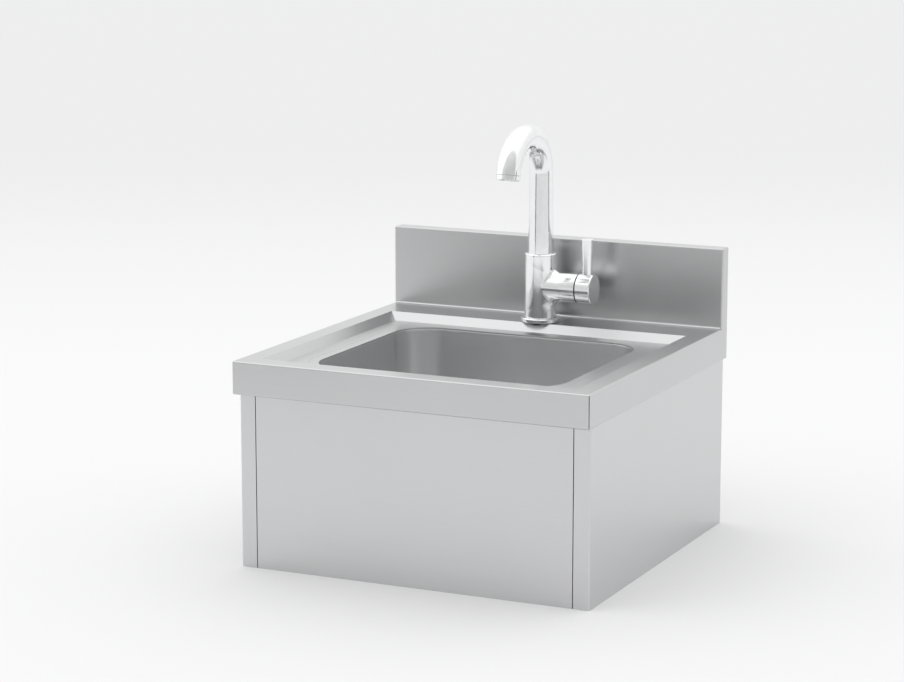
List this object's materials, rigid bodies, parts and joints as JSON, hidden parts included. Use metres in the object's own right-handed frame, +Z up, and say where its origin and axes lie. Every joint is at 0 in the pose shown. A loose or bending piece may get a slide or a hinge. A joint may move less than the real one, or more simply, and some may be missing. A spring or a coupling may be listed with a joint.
{
  "type": "sink unit",
  "caption": "Small square sink unit with a folded sheet cabinet, a sunk drip area round a deep rectangular bowl, a splash upstand and a side-lever mixer tap with a curved spout.",
  "frame": {"origin": "centre of the footprint, on the floor", "axes": "+X to the user's right, +Y to the back where the upstand is, +Z up along the unit's longest extent"},
  "size_m": [0.45, 0.45, 0.5025],
  "materials": {
    "worktop_steel": "fine satin",
    "bowl_steel": "satin",
    "body_steel": "fine satin",
    "fixing_steel": "zinc plated",
    "waste_steel": "polished",
    "tap_chrome": "mirror",
    "brass": "turned",
    "black_rubber": "matt",
    "grey_pad": "matt",
    "black_plastic": "matt",
    "grey_plastic": "moulded",
    "white_plastic": "moulded"
  },
  "bodies": {
    "cabinet": {"worktop": "worktop_steel", "bowl": "bowl_steel", "damping_pad": "grey_pad", "left_side_panel": "body_steel", "right_side_panel": "body_steel", "front_fascia": "body_steel", "rear_panel": "body_steel", "fascia_screws": "fixing_steel", "fascia_spacers": "fixing_steel", "fascia_nuts": "fixing_steel", "rear_screws": "fixing_steel", "rear_nuts": "fixing_steel", "worktop_studs": "fixing_steel", "worktop_nuts": "fixing_steel", "waste_top_seal": "black_rubber", "waste_cup": "waste_steel", "waste_lower_seal": "black_rubber", "waste_body": "grey_plastic", "waste_insert": "brass", "waste_screw": "fixing_steel", "tap_gasket": "black_rubber", "tap_base_ring": "tap_chrome", "tap_body": "tap_chrome", "tap_shank": "brass", "tap_clamp_seal": "black_rubber", "tap_clamp_plate": "fixing_steel", "tap_nut": "brass", "cartridge": "white_plastic", "cartridge_nut": "brass", "seam_collar": "black_plastic", "spout_bearing": "white_plastic", "spout_grub_screw": "fixing_steel"},
    "spout_arm": {"spout": "tap_chrome", "spout_o_rings": "black_rubber", "aerator_shell": "tap_chrome", "aerator_insert": "white_plastic"},
    "turret": {"cartridge_turret": "white_plastic"},
    "handle": {"handle_stem": "fixing_steel", "handle_cap": "tap_chrome", "handle_grub_screw": "fixing_steel", "lever": "tap_chrome"},
    "strainer": {"strainer_basket": "waste_steel", "strainer_knob": "black_plastic", "strainer_seal": "black_rubber"}
  },
  "joints": [
    {"name": "spout_swivel", "type": "hinge", "parent": "cabinet", "child": "spout_arm", "pos_m": [0, 0.161, 0.337], "axis": [0, 0, 1], "continuous": true},
    {"name": "handle_turn", "type": "hinge", "parent": "cabinet", "child": "turret", "pos_m": [0.04, 0.161, 0.2952], "axis": [1, 0, 0], "range_deg": [-30, 60]},
    {"name": "handle_tilt", "type": "hinge", "parent": "turret", "child": "handle", "pos_m": [0.0625, 0.161, 0.2952], "axis": [0, 1, 0], "range_deg": [0, 20]},
    {"name": "strainer_lift", "type": "slide", "parent": "cabinet", "child": "strainer", "axis": [0, 0, 1], "range_m": [0, 0.2]}
  ]
}
